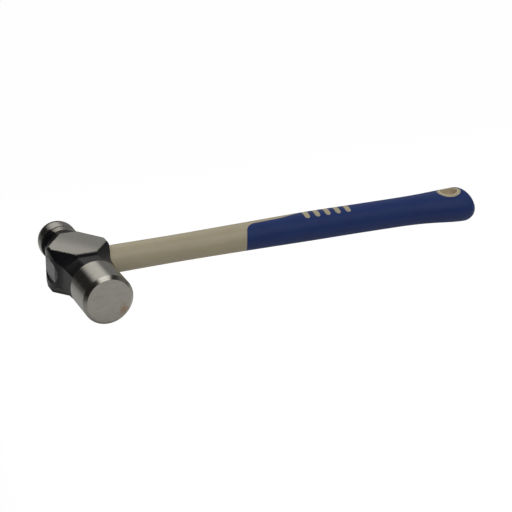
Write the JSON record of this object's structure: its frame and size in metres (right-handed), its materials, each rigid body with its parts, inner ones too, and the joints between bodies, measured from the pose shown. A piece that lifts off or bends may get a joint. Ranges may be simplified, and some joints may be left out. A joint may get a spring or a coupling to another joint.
{
  "type": "ball peen hammer",
  "caption": "Ball peen hammer with a forged head, ground eight-sided body, moulded two-colour handle, soft grip and hang hole.",
  "frame": {"origin": "where the handle's axis crosses the head's axis, at the centre of the eye", "axes": "+X along the handle to the butt, -Y towards the striking face, +Y towards the ball peen, +Z out of the upper cheek, so the hammer lies on its side"},
  "size_m": [0.3672, 0.1321, 0.038],
  "materials": {
    "forged_steel": "bell, ball and cheeks ground bright, necks and flanks in black lacquer",
    "bonding_resin": "grey-blue cast resin, slightly glossy",
    "glass_fibre": "amber glass-fibre rod, hidden inside",
    "hard_jacket": "fine satin moulded grain",
    "soft_grip": "soft matte dark blue"
  },
  "bodies": {
    "root": {"head": "forged_steel", "eye_resin": "bonding_resin", "glass_fibre_core": "glass_fibre", "handle_jacket": "hard_jacket", "grip_sleeve": "soft_grip"}
  },
  "joints": []
}
